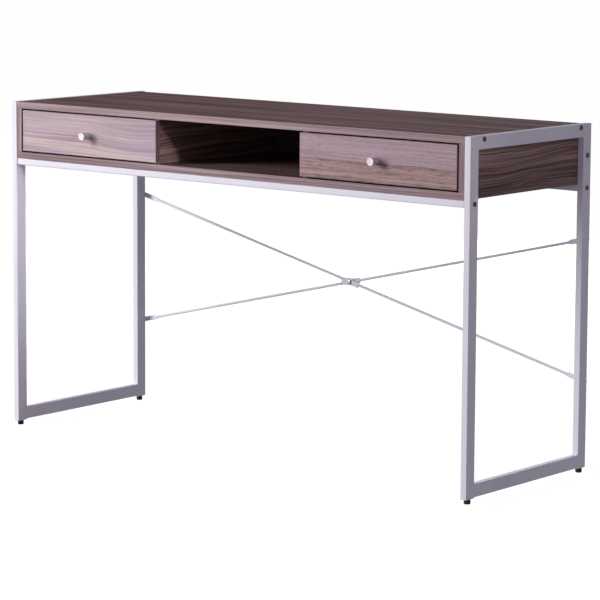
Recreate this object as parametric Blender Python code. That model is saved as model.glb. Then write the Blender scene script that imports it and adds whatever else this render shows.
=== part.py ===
"""Writing desk: a shallow board case with two drawers and an open middle bay, carried between two welded
side frames of rectangular tube, with two stretchers under the case and a bolted cross brace at the back.

Metres, +Z up, +Y towards the back, origin on the floor under the middle of the whole desk.
"""

import math

import bmesh
import bpy
from mathutils import Matrix, Vector

# Whole desk
WIDTH = 1.300
HEIGHT = 0.755
FRAME_DEPTH = 0.436
GAP = 0.0003

# Side frames: rectangular steel tube
TUBE_WIDE = 0.015
TUBE_DEEP = 0.028
TUBE_WALL = 0.0015
TUBE_CORNER = 0.0018
POST_BOTTOM = 0.010
POST_PAST_RAIL = 0.002
END_PLATE = 0.003

# Case of boards between the frames
BOARD = 0.015
BOARD_EASE = 0.0006
CASE_HEIGHT = 0.130
CASE_SETBACK = 0.001
TOP_BACK_SETBACK = 0.017
BAY_WIDTH = 0.409

# Drawers
FRONT_BOARD = 0.012
FRONT_SIDE_GAP = 0.004
FRONT_EDGE_GAP = 0.0035
BOX_BOARD = 0.012
BOX_HEIGHT = 0.070
BOX_LENGTH = 0.360
BOX_LIFT = 0.012
BOX_BOTTOM = 0.003
BOX_BOTTOM_RISE = 0.006
BOX_BACK_DROP = 0.004
GROOVE = 0.004
RUNNER_ROOM = 0.0125
RUNNER_LENGTH = 0.350
RUNNER_SETBACK = 0.002
RUNNER_HEIGHT = 0.036
RUNNER_SHEET = 0.0012
RUNNER_CASE_DEPTH = 0.0092
RUNNER_DRAWER_DEPTH = 0.0097
RUNNER_PLAY = 0.0005
KNOB_LENGTH = 0.022
KNOB_RADIUS = 0.009
KNOB_NECK = 0.0080
KNOB_WAIST = 0.0076
KNOB_FLANGE = 0.0018
KNOB_HEAD = 0.0045
KNOB_EASE = 0.0006
KNOB_CURVE = 2.2
KNOB_SCREW_SHANK = 0.002
KNOB_SCREW_GRIP = 0.010

# Cross brace behind the rear posts
BRACE_MIDDLE = 0.351
BRACE_RISE = 0.154
ROD_RADIUS = 0.003
TAB_HALF_WIDTH = 0.0055
TAB_HALF_THICK = 0.0012
TAB_PAST_BOLT = 0.006
TAB_LENGTH = 0.038
TAB_TAPER = 0.014
TAB_ROUNDING = 0.004
PLATE_THICK = 0.002
PLATE_REACH = 0.026
PLATE_PAST_BOLT = 0.007
PLATE_EASE = 0.0004
LEFT_PLATE_HALF = 0.0085
RIGHT_PLATE_HALF = 0.0065
LEFT_ROD_CLEAR = 0.0015
BOLT_BACK_REACH = 0.011
BRACE_BOLT_LENGTH = 0.012

# Fasteners and feet
SCREW_SHANK = 0.0025
SCREW_HEAD = 0.0055
SCREW_DOME = 0.0026
SCREW_IN_BOARD = 0.022
TOP_SCREW_FROM_FRONT = 0.046
TOP_SCREW_FROM_REAR = 0.040
BACK_SCREW_DROP = 0.003
NUT_CORNER = 0.0046
NUT_THICK = 0.004
FOOT_RADIUS = 0.0072
FOOT_STEM = 0.003
FOOT_STEM_UP = 0.020
FOOT_HOLE_MARGIN = 0.001

# Places worked out from the sizes above
KNOB_OVERHANG = KNOB_LENGTH - CASE_SETBACK
FRAME_FRONT = -(FRAME_DEPTH + BOLT_BACK_REACH - KNOB_OVERHANG) / 2
FRAME_REAR = FRAME_FRONT + FRAME_DEPTH
FRAME_INNER = WIDTH / 2 - TUBE_WIDE
POST_X = WIDTH / 2 - TUBE_WIDE / 2
FRONT_POST_Y = FRAME_FRONT + TUBE_DEEP / 2
REAR_POST_Y = FRAME_REAR - TUBE_DEEP / 2
RAIL_BOTTOM = POST_BOTTOM + POST_PAST_RAIL
CASE_FRONT = FRAME_FRONT + CASE_SETBACK
CASE_BOTTOM = HEIGHT - CASE_HEIGHT
SHELF_TOP = CASE_BOTTOM + BOARD
TOP_UNDERSIDE = HEIGHT - BOARD
BACK_FRONT = REAR_POST_Y - BOARD / 2
SIDE_INNER = FRAME_INNER - BOARD
DIVIDER_INNER = BAY_WIDTH / 2
DIVIDER_OUTER = DIVIDER_INNER + BOARD
STRETCHER_HEIGHT = TUBE_WIDE
STRETCHER_Z = CASE_BOTTOM - STRETCHER_HEIGHT / 2
DRAWER_X = (SIDE_INNER - FRONT_SIDE_GAP + DIVIDER_INNER) / 2
DRAWER_Z = (SHELF_TOP + TOP_UNDERSIDE) / 2
BRACE_Y = FRAME_REAR + GAP + TAB_HALF_THICK
SIDES = (("left", -1), ("right", 1))
ROUND_SIDES = 16


# Materials


def material(name, colour, roughness, metallic=0.0):
    """One Principled finish."""
    made = bpy.data.materials.new(name)
    made.use_nodes = True
    shader = made.node_tree.nodes["Principled BSDF"]
    shader.inputs["Base Color"].default_value = (*colour, 1.0)
    shader.inputs["Roughness"].default_value = roughness
    shader.inputs["Metallic"].default_value = metallic
    return made


# General shapes


def add_piece(name, mesh, finish, parent=None):
    """A named object for one physical piece."""
    piece = bpy.data.objects.new(name, mesh)
    bpy.context.scene.collection.objects.link(piece)
    mesh.materials.append(finish)
    piece.parent = parent
    return piece


def mesh_from(bm, name, smooth=False):
    """Turns a bmesh into a mesh with outward faces."""
    bmesh.ops.recalc_face_normals(bm, faces=bm.faces)
    mesh = bpy.data.meshes.new(name)
    bm.to_mesh(mesh)
    bm.free()
    if smooth:
        mesh.shade_smooth()
        mesh.set_sharp_from_angle(angle=math.radians(40))
    return mesh


def box_mesh(name, low, high):
    """A plain box between two corners."""
    low, high = Vector(low), Vector(high)
    bm = bmesh.new()
    bmesh.ops.create_cube(bm, size=1.0)
    bmesh.ops.scale(bm, vec=high - low, verts=bm.verts)
    bmesh.ops.translate(bm, vec=(low + high) / 2, verts=bm.verts)
    return mesh_from(bm, name)


def turned_mesh(name, profile, axis, place):
    """A turned piece: profile is (radius, distance along the axis), starting and ending on the axis."""
    bm = bmesh.new()
    verts = [bm.verts.new((radius, 0, along)) for radius, along in profile]
    edges = [bm.edges.new(pair) for pair in zip(verts, verts[1:])]
    bmesh.ops.spin(
        bm,
        geom=verts + edges,
        cent=(0, 0, 0),
        axis=(0, 0, 1),
        angle=2 * math.pi,
        steps=ROUND_SIDES,
        use_merge=True,
    )
    bmesh.ops.remove_doubles(bm, verts=bm.verts, dist=1e-6)
    turn = Vector((0, 0, 1)).rotation_difference(Vector(axis)).to_matrix().to_4x4()
    bmesh.ops.transform(bm, matrix=Matrix.Translation(place) @ turn, verts=bm.verts)
    return mesh_from(bm, name, smooth=True)


def ease(piece, width, segments=1):
    """Breaks the sharp edges."""
    bevel = piece.modifiers.new("eased edges", "BEVEL")
    bevel.width = width
    bevel.segments = segments
    bevel.limit_method = "ANGLE"
    bevel.angle_limit = math.radians(40)


def cut(piece, cutter):
    """Takes the cutter's shape out of a piece: one Boolean takes all of a piece's cutters at once."""
    boolean = piece.modifiers.get("cuts")
    if boolean is None:
        boolean = piece.modifiers.new("cuts", "BOOLEAN")
        boolean.operation = "DIFFERENCE"
        boolean.solver = "EXACT"
        boolean.operand_type = "COLLECTION"
        boolean.collection = bpy.data.collections.new(piece.name + "_cuts")
    boolean.collection.objects.link(cutter)


def hide_cutter(cutter):
    """A cutter is a guide and not a piece."""
    cutter.hide_render = True
    cutter.display_type = "WIRE"


def bore(name, start, axis, radius, depth, targets, parent=None):
    """Drills a round hole from start along axis through every target."""
    profile = [(0, 0), (radius, 0), (radius, depth), (0, depth)]
    drill = add_piece(name + "_hole", turned_mesh(name + "_hole", profile, axis, start), STEEL, parent)
    hide_cutter(drill)
    for target in targets:
        cut(target, drill)


def slab_from_cells(name, x_low, x_high, y_lines, z_lines, cells):
    """A flat slab in the YZ plane: the grid cells named are solid, the rest are open."""
    bm = bmesh.new()
    corners = {(j, k): bm.verts.new((x_low, y, z)) for j, y in enumerate(y_lines) for k, z in enumerate(z_lines)}
    for j, k in cells:
        bm.faces.new([corners[j, k], corners[j + 1, k], corners[j + 1, k + 1], corners[j, k + 1]])
    grown = bmesh.ops.extrude_face_region(bm, geom=bm.faces[:])
    moved = [item for item in grown["geom"] if isinstance(item, bmesh.types.BMVert)]
    bmesh.ops.translate(bm, vec=(x_high - x_low, 0, 0), verts=moved)
    loose = [vert for vert in bm.verts if not vert.link_faces]
    bmesh.ops.delete(bm, geom=loose, context="VERTS")
    return mesh_from(bm, name)


bpy.context.scene.unit_settings.system = "METRIC"
for old in list(bpy.data.objects):
    bpy.data.objects.remove(old, do_unlink=True)

WOOD = material("wood_laminate", (0.42, 0.34, 0.33), 0.5)
PAINT = material("painted_steel", (0.75, 0.74, 0.80), 0.4)
DRAWER_BOARD = material("drawer_board", (0.62, 0.58, 0.57), 0.6)
KNOB_METAL = material("knob_metal", (0.72, 0.71, 0.74), 0.3, 1.0)
STEEL = material("screw_steel", (0.45, 0.43, 0.47), 0.35, 1.0)
RUNNER_STEEL = material("runner_steel", (0.62, 0.63, 0.65), 0.4, 1.0)
PLASTIC = material("foot_plastic", (0.03, 0.03, 0.032), 0.6)


# Side frames: welded loops, hollow, with a threaded plate closing each post


def side_frame(side, sign):
    """One closed frame: two posts to the floor with two rails between them."""
    inner, outer = sorted((sign * FRAME_INNER, sign * WIDTH / 2))
    loop = [(0, k) for k in range(4)] + [(2, k) for k in range(4)] + [(1, 1), (1, 3)]
    y_lines = (FRAME_FRONT, FRAME_FRONT + TUBE_DEEP, FRAME_REAR - TUBE_DEEP, FRAME_REAR)
    z_lines = (POST_BOTTOM, RAIL_BOTTOM, RAIL_BOTTOM + TUBE_DEEP, HEIGHT - TUBE_DEEP, HEIGHT)
    solid = slab_from_cells(f"frame_{side}", inner, outer, y_lines, z_lines, loop)
    frame = add_piece(f"side_frame_{side}", solid, PAINT)
    ease(frame, TUBE_CORNER, 2)
    wall = TUBE_WALL
    hollow_y = (y_lines[0] + wall, y_lines[1] - wall, y_lines[2] + wall, y_lines[3] - wall)
    hollow_z = (z_lines[0] + END_PLATE, z_lines[1] + wall, z_lines[2] - wall, z_lines[3] + wall, z_lines[4] - wall)
    hollow = slab_from_cells(f"hollow_{side}", inner + wall, outer - wall, hollow_y, hollow_z, loop)
    cavity = add_piece(f"frame_cavity_{side}", hollow, PAINT)
    hide_cutter(cavity)
    cut(frame, cavity)
    return frame


FRAMES = {side: side_frame(side, sign) for side, sign in SIDES}


# Stretchers: the same tube laid flat under the case, with threaded plates in its ends


def stretcher(name, middle_y):
    """A cross tube between the two frames."""
    half = FRAME_INNER - GAP
    low = Vector((-half, middle_y - TUBE_DEEP / 2, CASE_BOTTOM - STRETCHER_HEIGHT))
    high = Vector((half, middle_y + TUBE_DEEP / 2, CASE_BOTTOM - GAP))
    tube = add_piece(name, box_mesh(name, low, high), PAINT)
    ease(tube, TUBE_CORNER, 2)
    inset = Vector((END_PLATE, TUBE_WALL, TUBE_WALL))
    cavity = add_piece(name + "_cavity", box_mesh(name + "_cavity", low + inset, high - inset), PAINT)
    hide_cutter(cavity)
    cut(tube, cavity)
    return tube


FRONT_STRETCHER_Y = CASE_FRONT + TUBE_DEEP / 2
FRONT_STRETCHER = stretcher("stretcher_front", FRONT_STRETCHER_Y)
REAR_STRETCHER = stretcher("stretcher_rear", REAR_POST_Y)


# Case boards


def board(name, low, high, finish=None, parent=None):
    """A laminate-faced board with eased edges."""
    piece = add_piece(name, box_mesh(name, low, high), finish or WOOD, parent)
    ease(piece, BOARD_EASE)
    return piece


BOARD_END = FRAME_INNER - GAP
TOP_BOARD = board(
    "top_board",
    (-BOARD_END, CASE_FRONT, TOP_UNDERSIDE),
    (BOARD_END, FRAME_REAR - TOP_BACK_SETBACK, HEIGHT),
)
BACK_PANEL = board(
    "back_panel",
    (-BOARD_END, BACK_FRONT, CASE_BOTTOM),
    (BOARD_END, BACK_FRONT + BOARD, TOP_UNDERSIDE - GAP),
)
board("bottom_board", (-BOARD_END, CASE_FRONT, CASE_BOTTOM), (BOARD_END, BACK_FRONT - GAP, SHELF_TOP))
for side, sign in SIDES:
    panel_x = sorted((sign * SIDE_INNER, sign * BOARD_END))
    board(
        f"side_panel_{side}",
        (panel_x[0], CASE_FRONT, SHELF_TOP + GAP),
        (panel_x[1], BACK_FRONT - GAP, TOP_UNDERSIDE - GAP),
    )
    divider_x = sorted((sign * DIVIDER_INNER, sign * DIVIDER_OUTER))
    board(
        f"divider_{side}",
        (divider_x[0], CASE_FRONT + FRONT_BOARD + GAP, SHELF_TOP + GAP),
        (divider_x[1], BACK_FRONT - GAP, TOP_UNDERSIDE - GAP),
    )


# Button-head screws through the frames


def screw(name, place, axis, length, targets, radius=SCREW_SHANK, parent=None):
    """A domed screw: place is on the surface under its head, axis points into the work."""
    socket = radius * 0.8
    profile = [
        (0, -SCREW_DOME / 2),
        (socket, -SCREW_DOME / 2),
        (socket, -SCREW_DOME),
        (SCREW_HEAD * 0.62, -SCREW_DOME),
        (SCREW_HEAD * 0.9, -SCREW_DOME * 0.55),
        (SCREW_HEAD, 0),
        (radius, 0),
        (radius, length - radius / 2),
        (radius / 2, length),
        (0, length),
    ]
    start = Vector(place) - Vector(axis) * GAP
    add_piece(name, turned_mesh(name, profile, axis, start), STEEL, parent)
    bore(name, start - Vector(axis) * GAP, axis, radius + GAP, length + 3 * GAP, targets, parent)


TOP_SCREW_FRONT = FRAME_FRONT + TOP_SCREW_FROM_FRONT
TOP_SCREW_REAR = FRAME_REAR - TOP_SCREW_FROM_REAR
TOP_SCREW_Z = HEIGHT - BOARD / 2
BACK_SCREW_Z = (CASE_BOTTOM + HEIGHT) / 2 - BACK_SCREW_DROP
for side, sign in SIDES:
    frame_screws = (
        ("top_front", TOP_SCREW_FRONT, TOP_SCREW_Z, TOP_BOARD),
        ("top_rear", TOP_SCREW_REAR, TOP_SCREW_Z, TOP_BOARD),
        ("back_panel", REAR_POST_Y, BACK_SCREW_Z, BACK_PANEL),
        ("stretcher_rear", REAR_POST_Y, STRETCHER_Z, REAR_STRETCHER),
        ("stretcher_front", FRONT_STRETCHER_Y, STRETCHER_Z, FRONT_STRETCHER),
    )
    for label, y, z, board_end in frame_screws:
        screw(
            f"screw_{label}_{side}",
            (sign * WIDTH / 2, y, z),
            (-sign, 0, 0),
            TUBE_WIDE + SCREW_IN_BOARD,
            (FRAMES[side], board_end),
        )


# Levelling feet: a glide on a threaded stem that screws into the plate in the post


def foot(name, side, x, y):
    """One glide and its stem, turned about the post's own axis."""
    pivot = bpy.data.objects.new(name + "_axis", None)
    pivot.location = (x, y, 0)
    bpy.context.scene.collection.objects.link(pivot)
    top = POST_BOTTOM - GAP
    profile = [
        (0, 0),
        (FOOT_RADIUS * 0.8, 0),
        (FOOT_RADIUS, top * 0.2),
        (FOOT_RADIUS, top * 0.85),
        (FOOT_RADIUS * 0.9, top),
        (FOOT_STEM, top),
        (FOOT_STEM, top + FOOT_STEM_UP),
        (0, top + FOOT_STEM_UP),
    ]
    add_piece(name, turned_mesh(name, profile, (0, 0, 1), (0, 0, 0)), PLASTIC, pivot)
    hole_start = (0, 0, POST_BOTTOM - FOOT_HOLE_MARGIN)
    hole_depth = END_PLATE + 2 * FOOT_HOLE_MARGIN
    bore(name, hole_start, (0, 0, 1), FOOT_STEM + GAP, hole_depth, (FRAMES[side],), pivot)


for side, sign in SIDES:
    foot(f"foot_front_{side}", side, sign * POST_X, FRONT_POST_Y)
    foot(f"foot_rear_{side}", side, sign * POST_X, REAR_POST_Y)


# Cross brace: four rods flattened at their post ends, three plates and one bolt in the middle


def ring(bm, centre, along, half_width, half_thick, boxiness):
    """One cross-section of a rod: round when boxiness is 2, squarer when it is larger."""
    across = Vector((-along.z, 0, along.x))
    verts = []
    for step in range(ROUND_SIDES):
        angle = 2 * math.pi * (step + 0.5) / ROUND_SIDES
        wide = math.copysign(abs(math.cos(angle)) ** (2 / boxiness), math.cos(angle))
        thick = math.copysign(abs(math.sin(angle)) ** (2 / boxiness), math.sin(angle))
        offset = across * (wide * half_width) + Vector((0, thick * half_thick, 0))
        verts.append(bm.verts.new(centre + offset))
    return [bm.edges.new((verts[i], verts[i - 1])) for i in range(ROUND_SIDES)]


def brace_rod(name, bolt_place, end_place):
    """A rod from its bolt at a post to its plate in the middle, flattened round the bolt."""
    along = (end_place - bolt_place).normalized()
    start = bolt_place - along * TAB_PAST_BOLT
    reach = (end_place - start).length
    tab_end = TAB_PAST_BOLT + TAB_LENGTH
    stations = [
        (0.0, TAB_HALF_WIDTH * 0.45, TAB_HALF_THICK, 4),
        (TAB_ROUNDING * 0.3, TAB_HALF_WIDTH * 0.78, TAB_HALF_THICK, 4),
        (TAB_ROUNDING, TAB_HALF_WIDTH, TAB_HALF_THICK, 4),
        (tab_end, TAB_HALF_WIDTH, TAB_HALF_THICK, 4),
        (tab_end + TAB_TAPER / 2, (TAB_HALF_WIDTH + ROD_RADIUS) / 2, ROD_RADIUS * 0.7, 2.6),
        (tab_end + TAB_TAPER, ROD_RADIUS, ROD_RADIUS, 2),
        (reach, ROD_RADIUS, ROD_RADIUS, 2),
    ]
    bm = bmesh.new()
    rings = [ring(bm, start + along * s, along, wide, thick, boxy) for s, wide, thick, boxy in stations]
    for first, second in zip(rings, rings[1:]):
        bmesh.ops.bridge_loops(bm, edges=first + second)
    for end in (rings[0], rings[-1]):
        bmesh.ops.contextual_create(bm, geom=end)
    return add_piece(name, mesh_from(bm, name, smooth=True), PAINT)


def brace_plate(name, length_sign, half_width, tilt, layer):
    """A flat plate from just past the middle bolt out to the rod ends; layer stacks the plates."""
    y = BRACE_Y + layer * (PLATE_THICK + GAP)
    ends = sorted((length_sign * -PLATE_PAST_BOLT, length_sign * PLATE_REACH))
    mesh = box_mesh(name, (ends[0], -PLATE_THICK / 2, -half_width), (ends[1], PLATE_THICK / 2, half_width))
    mesh.transform(Matrix.Translation((0, y, BRACE_MIDDLE)) @ Matrix.Rotation(tilt, 4, "Y"))
    plate = add_piece(name, mesh, PAINT)
    ease(plate, PLATE_EASE)
    return plate


BRACE_ANGLE = math.atan2(BRACE_RISE, POST_X)
PLATES = [
    brace_plate("brace_plate_left", -1, LEFT_PLATE_HALF, 0, 0),
    brace_plate("brace_plate_lower_right", 1, RIGHT_PLATE_HALF, BRACE_ANGLE, -1),
    brace_plate("brace_plate_upper_right", 1, RIGHT_PLATE_HALF, -BRACE_ANGLE, 1),
]
MIDDLE = Vector((0, BRACE_Y, BRACE_MIDDLE))
for side, sign in SIDES:
    for level, rise in (("upper", 1), ("lower", -1)):
        at_post = Vector((sign * POST_X, BRACE_Y, BRACE_MIDDLE + rise * BRACE_RISE))
        outward = (at_post - MIDDLE).normalized()
        clear = PLATE_REACH + (LEFT_ROD_CLEAR if side == "left" else GAP)
        rod = brace_rod(f"brace_rod_{level}_{side}", at_post, MIDDLE + outward * clear)
        head_place = at_post + Vector((0, TAB_HALF_THICK, 0))
        targets = (rod, FRAMES[side])
        screw(f"brace_bolt_{level}_{side}", head_place, (0, -1, 0), BRACE_BOLT_LENGTH, targets)

STACK_HALF = 1.5 * PLATE_THICK + GAP
BOLT_FACE = MIDDLE - Vector((0, STACK_HALF, 0))
BOLT_LENGTH = FRAME_REAR + BOLT_BACK_REACH - BOLT_FACE.y + GAP
screw("brace_centre_bolt", BOLT_FACE, (0, 1, 0), BOLT_LENGTH, PLATES)


def centre_nut():
    """The hexagon nut behind the plates."""
    name = "brace_centre_nut"
    radius = NUT_CORNER
    bm = bmesh.new()
    bmesh.ops.create_cone(bm, cap_ends=True, segments=6, radius1=radius, radius2=radius, depth=NUT_THICK)
    back = MIDDLE + Vector((0, STACK_HALF + GAP + NUT_THICK / 2, 0))
    bmesh.ops.transform(bm, matrix=Matrix.Translation(back) @ Matrix.Rotation(math.pi / 2, 4, "X"), verts=bm.verts)
    nut = add_piece(name, mesh_from(bm, name), STEEL)
    cut(nut, bpy.data.objects["brace_centre_bolt_hole"])


centre_nut()


# Drawers


def channel_mesh(name, web_x, depth, height, y_low, y_high, middle_z):
    """A C-shaped rolled runner: the web stands at web_x and the flanges reach depth from it."""
    sheet = math.copysign(RUNNER_SHEET, depth)
    half = height / 2
    outline = [
        (web_x, -half),
        (web_x + depth, -half),
        (web_x + depth, -half + RUNNER_SHEET),
        (web_x + sheet, -half + RUNNER_SHEET),
        (web_x + sheet, half - RUNNER_SHEET),
        (web_x + depth, half - RUNNER_SHEET),
        (web_x + depth, half),
        (web_x, half),
    ]
    bm = bmesh.new()
    face = bm.faces.new([bm.verts.new((x, y_low, middle_z + z)) for x, z in outline])
    grown = bmesh.ops.extrude_face_region(bm, geom=[face])
    moved = [item for item in grown["geom"] if isinstance(item, bmesh.types.BMVert)]
    bmesh.ops.translate(bm, vec=(0, y_high - y_low, 0), verts=moved)
    return mesh_from(bm, name)


def runner_pair(side, label, wall_x, inward, drawer):
    """The case's runner and the drawer's runner nested in it, in the room beside the drawer box."""
    y_low = CASE_FRONT + FRONT_BOARD + RUNNER_SETBACK
    y_high = y_low + RUNNER_LENGTH
    case_name = f"runner_case_{label}_{side}"
    web = wall_x + inward * GAP
    case_mesh = channel_mesh(case_name, web, inward * RUNNER_CASE_DEPTH, RUNNER_HEIGHT, y_low, y_high, DRAWER_Z)
    add_piece(case_name, case_mesh, RUNNER_STEEL)
    drawer_name = f"runner_drawer_{label}_{side}"
    web = wall_x + inward * (RUNNER_ROOM - GAP) - drawer.location.x
    height = RUNNER_HEIGHT - 2 * (RUNNER_SHEET + RUNNER_PLAY)
    ends = (y_low - drawer.location.y, y_high - drawer.location.y)
    drawer_mesh = channel_mesh(drawer_name, web, -inward * RUNNER_DRAWER_DEPTH, height, *ends, 0)
    add_piece(drawer_name, drawer_mesh, RUNNER_STEEL, drawer)


def knob_profile():
    """A spool: base flange, hollow waist and a flat head, from the drawer outwards."""
    rise = KNOB_LENGTH - KNOB_HEAD
    curve = []
    for step in range(7):
        share = step / 6
        radius = KNOB_WAIST + (KNOB_NECK - KNOB_WAIST) * abs(2 * share - 1) ** KNOB_CURVE
        curve.append((radius, KNOB_FLANGE + (rise - KNOB_FLANGE) * share))
    base = [(0, GAP), (KNOB_NECK, GAP)]
    head = [
        (KNOB_RADIUS, rise + KNOB_EASE),
        (KNOB_RADIUS, KNOB_LENGTH - KNOB_EASE),
        (KNOB_RADIUS - KNOB_EASE, KNOB_LENGTH),
    ]
    return base + curve + head + [(0, KNOB_LENGTH)]


def drawer_set(side, sign):
    """A drawer: front, box, bottom panel, knob and its screw, and both runner pairs, sliding out along -Y."""
    drawer = bpy.data.objects.new(f"drawer_{side}", None)
    drawer.location = (sign * DRAWER_X, CASE_FRONT, DRAWER_Z)
    bpy.context.scene.collection.objects.link(drawer)
    half_wide = (SIDE_INNER - FRONT_SIDE_GAP - DIVIDER_INNER) / 2
    half_high = (TOP_UNDERSIDE - SHELF_TOP) / 2 - FRONT_EDGE_GAP
    front = board(
        f"drawer_front_{side}",
        (-half_wide, 0, -half_high),
        (half_wide, FRONT_BOARD, half_high),
        parent=drawer,
    )
    clear_middle = sign * (SIDE_INNER + DIVIDER_OUTER) / 2 - drawer.location.x
    box_half = (SIDE_INNER - DIVIDER_OUTER) / 2 - RUNNER_ROOM
    inside = box_half - BOX_BOARD
    box_low = SHELF_TOP + BOX_LIFT - DRAWER_Z
    box_front = FRONT_BOARD + GAP
    box_back = box_front + BOX_LENGTH
    panel_z = box_low + BOX_BOTTOM_RISE
    walls = []
    for label, hand in (("left", -1), ("right", 1)):
        x = sorted((clear_middle + hand * inside, clear_middle + hand * box_half))
        walls.append(
            board(
                f"drawer_{side}_side_{label}",
                (x[0], box_front, box_low),
                (x[1], box_back, box_low + BOX_HEIGHT),
                DRAWER_BOARD,
                drawer,
            )
        )
    board(
        f"drawer_{side}_back",
        (clear_middle - inside + GAP, box_back - BOX_BOARD, panel_z + BOX_BOTTOM + GAP),
        (clear_middle + inside - GAP, box_back, box_low + BOX_HEIGHT - BOX_BACK_DROP),
        DRAWER_BOARD,
        drawer,
    )
    panel_low = Vector((clear_middle - inside - GROOVE, FRONT_BOARD - GROOVE, panel_z))
    panel_high = Vector((clear_middle + inside + GROOVE, box_back, panel_z + BOX_BOTTOM))
    add_piece(
        f"drawer_{side}_bottom",
        box_mesh(f"bottom_{side}", panel_low, panel_high),
        DRAWER_BOARD,
        drawer,
    )
    room = Vector((GAP, GAP, GAP))
    groove = add_piece(
        f"drawer_{side}_groove",
        box_mesh(f"groove_{side}", panel_low - room, panel_high + room),
        DRAWER_BOARD,
        drawer,
    )
    hide_cutter(groove)
    for grooved in (front, *walls):
        cut(grooved, groove)
    knob_name = f"knob_{side}"
    knob = add_piece(knob_name, turned_mesh(knob_name, knob_profile(), (0, -1, 0), (0, 0, 0)), KNOB_METAL, drawer)
    length = FRONT_BOARD + KNOB_SCREW_GRIP
    under_head = (0, FRONT_BOARD, 0)
    screw(f"knob_screw_{side}", under_head, (0, -1, 0), length, (front, knob), KNOB_SCREW_SHANK, drawer)
    runner_pair(side, "outer", sign * SIDE_INNER, -sign, drawer)
    runner_pair(side, "inner", sign * DIVIDER_OUTER, sign, drawer)


for side, sign in SIDES:
    drawer_set(side, sign)
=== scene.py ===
"""A writing desk: two white steel loop frames carry a woodgrain case with two drawers and an open bay.

Everything is in metres, +Z up, with the drawers opening towards -Y. The sections follow the order in which
the desk is put together.
"""

import math

import bmesh
import bpy
from mathutils import Matrix, Vector


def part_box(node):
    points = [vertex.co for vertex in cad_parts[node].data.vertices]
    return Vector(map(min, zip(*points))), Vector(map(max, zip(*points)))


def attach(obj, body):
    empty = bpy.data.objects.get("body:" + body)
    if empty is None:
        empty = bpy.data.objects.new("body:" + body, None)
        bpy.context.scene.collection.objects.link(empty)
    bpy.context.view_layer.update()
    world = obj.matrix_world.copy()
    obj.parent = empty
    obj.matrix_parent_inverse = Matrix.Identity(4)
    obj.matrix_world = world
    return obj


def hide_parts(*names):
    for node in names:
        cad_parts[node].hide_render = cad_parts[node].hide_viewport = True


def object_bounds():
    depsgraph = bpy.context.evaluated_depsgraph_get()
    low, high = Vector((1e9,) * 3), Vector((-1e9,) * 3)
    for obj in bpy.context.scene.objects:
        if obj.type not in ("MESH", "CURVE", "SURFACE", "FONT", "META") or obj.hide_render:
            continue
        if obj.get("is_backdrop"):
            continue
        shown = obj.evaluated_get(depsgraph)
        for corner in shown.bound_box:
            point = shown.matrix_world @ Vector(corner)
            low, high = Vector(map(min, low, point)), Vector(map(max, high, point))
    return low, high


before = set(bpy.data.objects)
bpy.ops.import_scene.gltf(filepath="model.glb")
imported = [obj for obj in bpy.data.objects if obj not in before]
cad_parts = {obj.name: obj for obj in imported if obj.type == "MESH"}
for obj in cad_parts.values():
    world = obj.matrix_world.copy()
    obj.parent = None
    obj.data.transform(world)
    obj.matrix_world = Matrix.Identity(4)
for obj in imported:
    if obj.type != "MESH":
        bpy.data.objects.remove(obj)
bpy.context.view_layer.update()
SIDES = {"left": -1, "right": 1}


# Camera
# A long lens a little above the top, looking across the desk from beyond its right front corner.

CAMERA_PLACE = (3.9493, -4.7766, 1.2768)
CAMERA_AZIMUTH = math.radians(39.344)
CAMERA_DROP = math.radians(7.421)
CAMERA_ROLL = math.radians(0.324)
camera_data = bpy.data.cameras.new("camera")
camera_data.lens = 168.75
camera_data.shift_y = -0.1
camera_data.clip_end = 200
camera = bpy.data.objects.new("camera", camera_data)
bpy.context.scene.collection.objects.link(camera)
camera_turn = (
    Matrix.Rotation(CAMERA_AZIMUTH, 4, "Z")
    @ Matrix.Rotation(math.pi / 2 - CAMERA_DROP, 4, "X")
    @ Matrix.Rotation(CAMERA_ROLL, 4, "Z")
)
camera.matrix_world = Matrix.Translation(CAMERA_PLACE) @ camera_turn
bpy.context.scene.camera = camera


# Studio
# A wide white floor under a white sky that only the camera sees, in a dim even surround. A tall soft light
# stands at the front left and a low one behind. From the right, a far narrow beam reaches the left frame and
# the bay, and a weak fill lights the end.

bpy.context.scene.view_settings.view_transform = "Standard"
world = bpy.data.worlds.new("dim surround")
world.use_nodes = True
surround = world.node_tree.nodes["Background"]
surround.inputs["Color"].default_value = (0.90, 0.83, 1.0, 1.0)
surround.inputs["Strength"].default_value = 0.22
bpy.context.scene.world = world


def studio_white(name, colour, glow):
    """Plain white paper, lit from within so that it stays white in a dim room."""
    paper = bpy.data.materials.new(name)
    paper.use_nodes = True
    shader = paper.node_tree.nodes["Principled BSDF"]
    shader.inputs["Base Color"].default_value = (colour, colour, colour, 1.0)
    shader.inputs["Roughness"].default_value = 1.0
    shader.inputs["Specular IOR Level"].default_value = 0.0
    shader.inputs["Emission Color"].default_value = (1.0, 1.0, 1.0, 1.0)
    shader.inputs["Emission Strength"].default_value = glow
    return paper


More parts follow.
